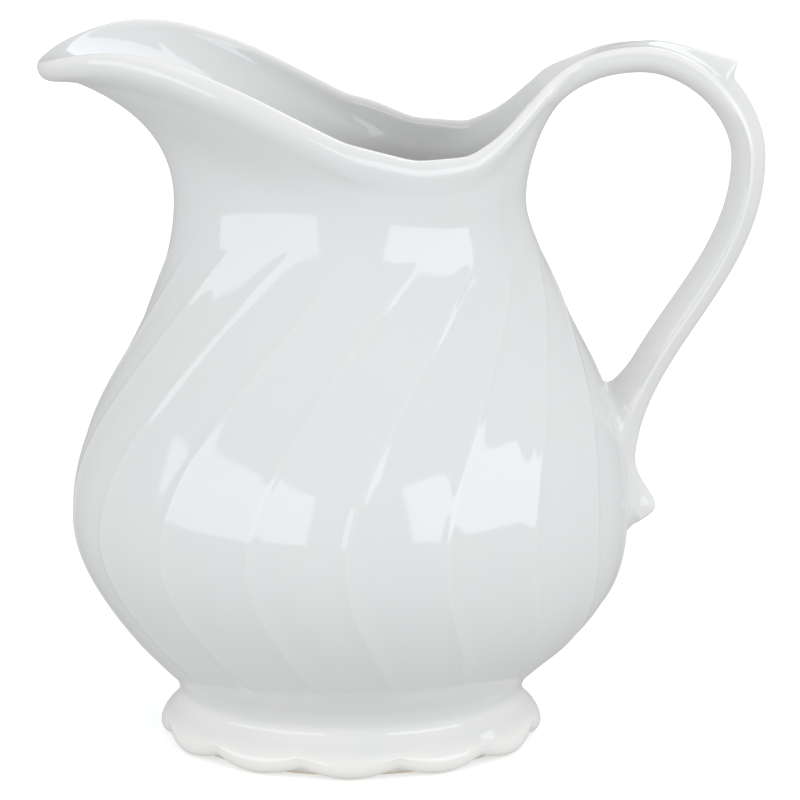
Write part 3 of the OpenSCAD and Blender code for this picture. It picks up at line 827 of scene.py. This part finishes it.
class JUG_OT_handle(bpy.types.Operator):
    """Models the handle with its gutter, ridges, spur and tail, and the fired slip in its two joints"""
    bl_idname = "jug.handle"
    bl_label = "Jug Handle"

    def execute(self, context):
        body = bpy.data.objects["cast_body"]
        form = HandleForm(context.scene.milk_jug)
        rings, near = form.into_belly(form.strap())
        slip = [form.loop + form.mouth.root_dir * form.sizes.slip_t * f for f in (0, 0.5)]
        near = closed(np.concatenate([np.full((len(slip), rings.shape[1]), False), near]))
        piece, row, column = clay_sheet("looped_handle", closed(np.concatenate([slip, rings])))
        face = corners_of(piece.data)
        in_slip = (row[face] <= len(slip)).all(1)
        in_fillet = near[row[face], column[face]].all(1)
        # Each piece is marked by a material of its name until it is taken off the joined clay
        names = ("cast_body", "looped_handle", "root_slip", "tail_slip")
        marks = [bpy.data.materials.new(name) for name in names]
        for mark in marks[1:]:
            piece.data.materials.append(mark)
        piece.data.polygons.foreach_set("material_index", np.where(in_slip, 1, np.where(in_fillet, 2, 0)))
        set_material(body, marks[0])
        work_on(body, piece)
        bpy.ops.object.join()
        close_seams(body)
        self.ease_root(body, form.mouth)
        glaze_run_and_painted_light(body)
        self.take_apart(body, names)
        return {"FINISHED"}

    def ease_root(self, piece, mouth):
        """Smooths the run of the rim into the handle, as a wet sponge does."""
        away = points_of(piece.data) - mouth.root
        across = np.abs(away @ mouth.root_dir)
        weight = ramp(across, 18, 6) * ramp(np.linalg.norm(away, axis=1), 34, 26)
        group = piece.vertex_groups.new(name="root")
        steps = np.rint(weight * 10).astype(int)
        for level in range(1, 11):
            group.add(np.flatnonzero(steps == level).tolist(), level / 10, "REPLACE")
        work_on(piece)
        ease = piece.modifiers.new("wet_sponge", "SMOOTH")
        ease.factor = 0.5
        ease.iterations = 40
        ease.vertex_group = group.name
        bpy.ops.object.modifier_apply(modifier=ease.name)
        piece.vertex_groups.clear()

    def take_apart(self, whole, names):
        """Separates the pieces, keeps the gloss unbroken across their joints and closes their ends."""
        work_on(whole)
        bpy.ops.object.shade_smooth_by_angle(angle=math.radians(50))
        normal = read(whole.data.corner_normals, "vector", 3)
        store = whole.data.attributes.new("unbroken", "FLOAT_VECTOR", "CORNER")
        store.data.foreach_set("vector", normal.ravel())
        set_mode("EDIT")
        bpy.ops.mesh.separate(type="MATERIAL")
        set_mode("OBJECT")
        pieces = {piece.data.materials[0].name: piece for piece in bpy.context.selected_objects}
        for name in names:
            pieces[name].name = name + ".part"
        for name in names:
            pieces[name].name = pieces[name].data.name = name
            self.close_ends(pieces[name])
            bpy.data.materials.remove(bpy.data.materials[name])

    def close_ends(self, piece):
        """Closes the cut ends of a piece and gives its skin the gloss that it had before the cut."""
        mesh = piece.data
        faces_at = np.bincount(read(mesh.loops, "edge_index", 1, int)[:, 0], minlength=len(mesh.edges))
        low_end = (faces_at == 1) & (points_of(mesh)[edge_ends(mesh)[:, 0], 2] < LOW_END)
        choose(piece, "edges", low_end)
        if low_end.any():
            bpy.ops.mesh.extrude_edges_move()
            bpy.ops.mesh.merge(type="CENTER")
        bpy.ops.mesh.select_all(action="SELECT")
        bpy.ops.mesh.fill_holes(sides=0)
        set_mode("OBJECT")
        normal = read(mesh.attributes["unbroken"].data, "vector", 3)
        # The point in the middle of a closed low end joins more than 90 edges
        edges_at = np.bincount(edge_ends(mesh).ravel(), minlength=len(mesh.vertices))
        middles = set(np.flatnonzero(edges_at > 90).tolist()) if low_end.any() else set()
        for end in mesh.polygons:
            if end.loop_total > 4 or (end.loop_total == 3 and middles & set(end.vertices)):
                normal[end.loop_start:end.loop_start + end.loop_total] = end.normal
        mesh.attributes.remove(mesh.attributes["unbroken"])
        mesh.normals_split_custom_set(normal.tolist())


class FootForm:
    """Outlines of the foot and of the slip in the groove above it, in millimetres"""
    # Share of the flare's curve that the slip covers
    begin = 0.12

    def __init__(self, jug):
        f = self.sizes = in_mm(jug.foot)
        self.body = BodyForm(jug)
        self.top = np.array([self.body.sizes.seat_r + 0.7, f.foot_h - 1])
        self.lip = np.array([f.foot_r - 0.2, f.lip_line_z])
        self.flare = [self.top, self.top + (1.0, -3.8), self.lip + (0, 3.1), self.lip]

    def foot(self, turn):
        """Radius and height of the foot at each angle: flare, lip, hollow, standing ring and seat."""
        f, lip, notch_soft = self.sizes, self.lip, 0.004
        wave = np.sqrt(cos(f.lobe_count * (turn - FRONT) / 2) ** 2 + notch_soft)
        notch = np.clip(1 - wave, 0, 1)
        lift = f.lobe_lift * notch + f.edge_clear
        t = np.linspace(self.begin, 1, 34)
        grow = t[:, None] ** 3
        r, z = bezier(self.flare, t).T[..., None]
        outer = np.stack([r - f.lobe_d * notch * grow, z + lift * grow], -1)
        bend = np.linspace(0, 90, 13)[1:, None]
        under = np.stack([lip[0] - f.lobe_d * notch - f.edge_in * (1 - cos(bend)),
                          lip[1] + lift - lip[1] * sin(bend)], -1)
        bend = np.linspace(0, 90, 7)[1:, None]
        hollow = np.stack([under[-1, :, 0] - 1.4 * sin(bend), under[-1, :, 1] + 1.6 * (1 - cos(bend))], -1)
        hollow_z, edge, cut = 3.2, 0.5, 0.15
        ring_out, ring_in = f.stand_r, f.stand_r - f.stand_w
        ring = np.array([
            (ring_out, hollow_z), (ring_out, edge), (ring_out - cut, cut), (ring_out - edge, 0),
            (ring_in + edge, 0), (ring_in + cut, cut), (ring_in, edge), (ring_in, f.foot_h),
            (self.top[0] - 0.9, f.foot_h)])
        return np.concatenate([outer, under, hollow, np.repeat(ring[:, None], len(turn), 1), outer[:1]])

    def slip(self):
        """Radius and height of the slip: the soft groove from the body to the flare, and its inner side."""
        step, slip_in = 0.01, 40
        body_edge = bezier(self.body.low, [self.body.groove, self.body.groove + step])
        foot_edge = bezier(self.flare, [self.begin, self.begin - step])
        down, up = unit(body_edge[0] - body_edge[1]), unit(foot_edge[1] - foot_edge[0])
        groove = [body_edge[0], body_edge[0] + down * 3.2, foot_edge[0] + up * 1.5, foot_edge[0]]
        inner = [(slip_in, self.sizes.foot_h), (slip_in, self.body.sizes.seat_z)]
        return np.concatenate([bezier(groove, np.linspace(0, 1, 49)), inner, body_edge[:1]])


class JUG_OT_foot(bpy.types.Operator):
    """Models the scalloped foot with its standing ring, and the fired slip in the groove above it"""
    bl_idname = "jug.foot"
    bl_label = "Jug Foot"

    def execute(self, context):
        form = FootForm(context.scene.milk_jug)
        turn = np.arange(361.0)
        for name, outline in (("scalloped_foot", form.foot(turn)), ("groove_slip", form.slip()[:, None])):
            sheet = turned(outline[..., 0], outline[..., 1], turn)
            piece = clay_sheet(name, sheet[::-1])[0]
            close_seams(piece)
            work_on(piece)
            bpy.ops.object.shade_smooth_by_angle(angle=math.radians(40))
            glaze_run_and_painted_light(piece)
        return {"FINISHED"}


class JUG_OT_glaze(bpy.types.Operator):
    """Glazes the pieces and lets each stand for its solid"""
    bl_idname = "jug.glaze"
    bl_label = "Glaze"

    def execute(self, context):
        finish = context.scene.milk_jug.finish
        body = glazed_porcelain("glazed_porcelain_cast_body", finish)
        # The handle and its slips are painted lighter and warmer than the body, partly as painted light
        handle = glazed_porcelain("glazed_porcelain_pressed_handle", finish, warmth_and_painted_light=0.3)
        foot = glazed_porcelain("glazed_porcelain_wiped_foot", finish, bare_foot=True)
        foot_slip = glazed_porcelain("glazed_fired_slip_foot", finish)
        handle_slip = glazed_porcelain("glazed_fired_slip_handle", finish, warmth_and_painted_light=0.15)
        for name, material, node, slot in (
                ("cast_body", body, "body_shell", "glazed_porcelain"),
                ("looped_handle", handle, "handle", "handle_porcelain"),
                ("scalloped_foot", foot, "foot_ring", "foot_porcelain"),
                ("groove_slip", foot_slip, "foot_slip", "slip_joint"),
                ("root_slip", handle_slip, "upper_handle_slip", "slip_joint"),
                ("tail_slip", handle_slip, "lower_handle_slip", "slip_joint")):
            piece = bpy.data.objects[name]
            set_material(piece, material)
            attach(piece, "root")
            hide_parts(node)
        return {"FINISHED"}


class JUG_OT_stage(bpy.types.Operator):
    """Sets the pale floor, the soft studio light and the camera"""
    bl_idname = "jug.stage"
    bl_label = "Studio"

    def execute(self, context):
        self.lay_floor(context)
        self.light_room(context)
        self.hang_lamps(context)
        self.set_camera(context)
        return {"FINISHED"}

    def lay_floor(self, context):
        """Lays a floor of matt white paint that glows a little, so that it looks even and pale."""
        clear_selection()
        bpy.ops.mesh.primitive_plane_add(size=12)
        floor = context.active_object
        floor.name = "studio_floor"
        paint = bpy.data.materials.new("matt_white_floor")
        paint.use_nodes = True
        shader = paint.node_tree.nodes["Principled BSDF"]
        white = (*context.scene.milk_jug.finish.floor, 1)
        for name, value in (("Base Color", white), ("Roughness", 0.9),
                            ("Emission Color", (1, 1, 1, 1)), ("Emission Strength", 0.35)):
            shader.inputs[name].default_value = value
        set_material(floor, paint)
        floor.visible_diffuse = floor.visible_glossy = floor.visible_shadow = False

    def light_room(self, context):
        """Lights the room softly, each side with its own brightness."""
        world = bpy.data.worlds.new("soft_studio")
        world.use_nodes = True
        tree = world.node_tree
        way = add_node(tree, "ShaderNodeTexCoord").outputs["Generated"]
        parts = add_node(tree, "ShaderNodeSeparateXYZ", {0: way}).outputs
        # Brightness of the room on its left and right, its front and back, and below and above the jug
        room = ((0.73, 0.79), (0.725, 0.52), (0.57, 0.86))
        sides = {k: add_node(tree, "ShaderNodeMapRange", {
            0: parts[k], 1: -0.01, 2: 0.01, 3: low, 4: high}).outputs["Result"]
            for k, (low, high) in enumerate(room)}
        near = add_node(tree, "ShaderNodeVectorMath", {0: way, 1: way}, operation="MULTIPLY").outputs[0]
        sides = add_node(tree, "ShaderNodeCombineXYZ", sides).outputs[0]
        glow = add_node(tree, "ShaderNodeVectorMath", {0: near, 1: sides}, operation="DOT_PRODUCT")
        sky = tree.nodes["Background"]
        sky.inputs["Color"].default_value = (0.975, 0.985, 1.0, 1)
        tree.links.new(glow.outputs["Value"], sky.inputs["Strength"])
        context.scene.world = world

    def hang_lamps(self, context):
        """Hangs the lamps that show as windows in the glaze."""
        centre, far = Vector((0, 0, 0.09)), 2.2
        # Turn from the front and rise in degrees, width and height in metres, and watts
        lamps = {"window_left": (-52, 13, 3.1, 1.02, 17), "window_right": (51, 13, 2.2, 1.02, 15),
                 "skylight": (143, 44, 2.0, 0.75, 8)}
        for name, (turn, rise, wide, high, power) in lamps.items():
            t, r = math.radians(turn), math.radians(rise)
            way = Vector((math.sin(t) * math.cos(r), -math.cos(t) * math.cos(r), math.sin(r)))
            bpy.ops.object.light_add(type="AREA", location=centre + way * far)
            lamp = context.active_object
            lamp.name = name
            lamp.data.shape = "RECTANGLE"
            lamp.data.size = wide
            lamp.data.size_y = high
            lamp.data.energy = power
            lamp.data.color = (0.88, 0.94, 1.0)
            lamp.rotation_mode = "QUATERNION"
            lamp.rotation_quaternion = way.to_track_quat("Z", "Y")

    def set_camera(self, context):
        """Sets the camera at the photograph's angle."""
        place, target = Vector((0.0119, -1.124, 0.3202)), Vector((0.0119, 0, 0.0818))
        bpy.ops.object.camera_add(location=place)
        camera = context.active_object
        camera.rotation_mode = "QUATERNION"
        camera.rotation_quaternion = (target - place).to_track_quat("-Z", "Y")
        camera.data.lens = 215.4
        camera.data.sensor_width = 36
        camera.data.clip_start = 0.05
        camera.data.clip_end = 50
        context.scene.camera = camera
        context.scene.view_settings.view_transform = "Standard"


class JUG_PT_sidebar(bpy.types.Panel):
    """Sizes, colours and steps of the milk jug"""
    bl_idname = "JUG_PT_sidebar"
    bl_label = "Milk Jug"
    bl_space_type = "VIEW_3D"
    bl_region_type = "UI"
    bl_category = "Milk Jug"

    def draw(self, context):
        jug = context.scene.milk_jug
        for step in STEPS:
            self.layout.operator(step.bl_idname)
        for group in (jug.body, jug.mouth, jug.handle, jug.foot, jug.finish):
            box = self.layout.box()
            for name in own_properties(group):
                box.prop(group, name)


STEPS = (JUG_OT_body, JUG_OT_handle, JUG_OT_foot, JUG_OT_glaze, JUG_OT_stage)
CLASSES = (JugBodySizes, JugMouthSizes, JugHandleSizes, JugFootSizes, JugFinish, MilkJug,
           *STEPS, JUG_PT_sidebar)


def register():
    for item in CLASSES:
        bpy.utils.register_class(item)
    bpy.types.Scene.milk_jug = PointerProperty(type=MilkJug)


def unregister():
    del bpy.types.Scene.milk_jug
    for item in reversed(CLASSES):
        bpy.utils.unregister_class(item)


def main():
    register()
    bpy.ops.jug.body()
    bpy.ops.jug.handle()
    bpy.ops.jug.foot()
    bpy.ops.jug.glaze()
    bpy.ops.jug.stage()


if __name__ == "__main__":
    main()
